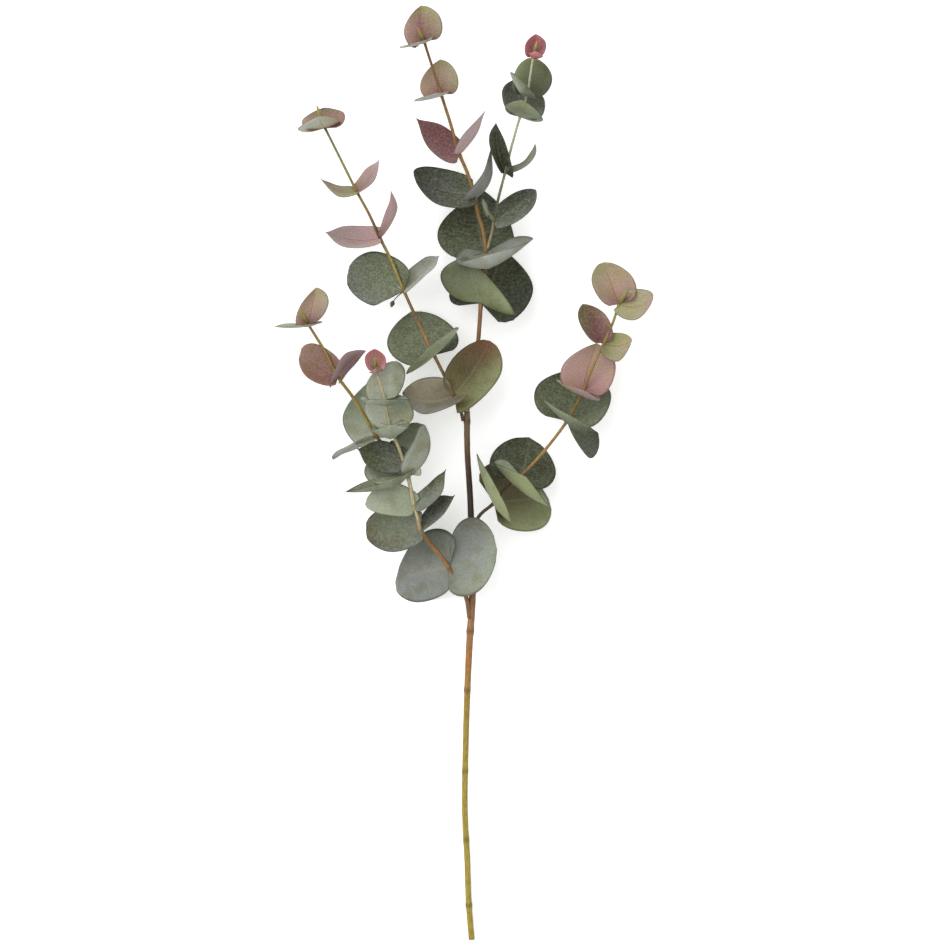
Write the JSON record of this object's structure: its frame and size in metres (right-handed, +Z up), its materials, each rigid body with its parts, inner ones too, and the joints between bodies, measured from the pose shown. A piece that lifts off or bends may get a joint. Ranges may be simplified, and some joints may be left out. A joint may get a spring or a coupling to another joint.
{
  "type": "eucalyptus branch",
  "caption": "Cut eucalyptus branch with a long bare stem and round blue-green leaves in opposite pairs, young ones pink at the tips, lying on its leaves",
  "frame": {"origin": "centre of the footprint, at the height of the surface the branch lies on", "axes": "+Y runs along the branch from the cut end to the tips, +X to the right with the branch seen from above, +Z up from the surface"},
  "size_m": [0.34, 0.8426, 0.0783],
  "materials": {
    "stem_wood": "satin",
    "green_leaf": "matte",
    "young_leaf": "matte",
    "rose_leaf": "matte"
  },
  "bodies": {
    "root": {"main_stem": "stem_wood", "leader_leaves": "green_leaf", "leader_young": "young_leaf", "fork_twig_leaves": "green_leaf", "fork_twig_tip": "rose_leaf", "left_high_twig_leaves": "green_leaf", "left_high_twig_young": "young_leaf", "left_mid_twig_leaves": "green_leaf", "left_mid_twig_young": "young_leaf", "left_low_twig_leaves": "green_leaf", "left_low_twig_tip": "rose_leaf", "right_twig_leaves": "green_leaf", "right_twig_young": "young_leaf"}
  },
  "joints": []
}
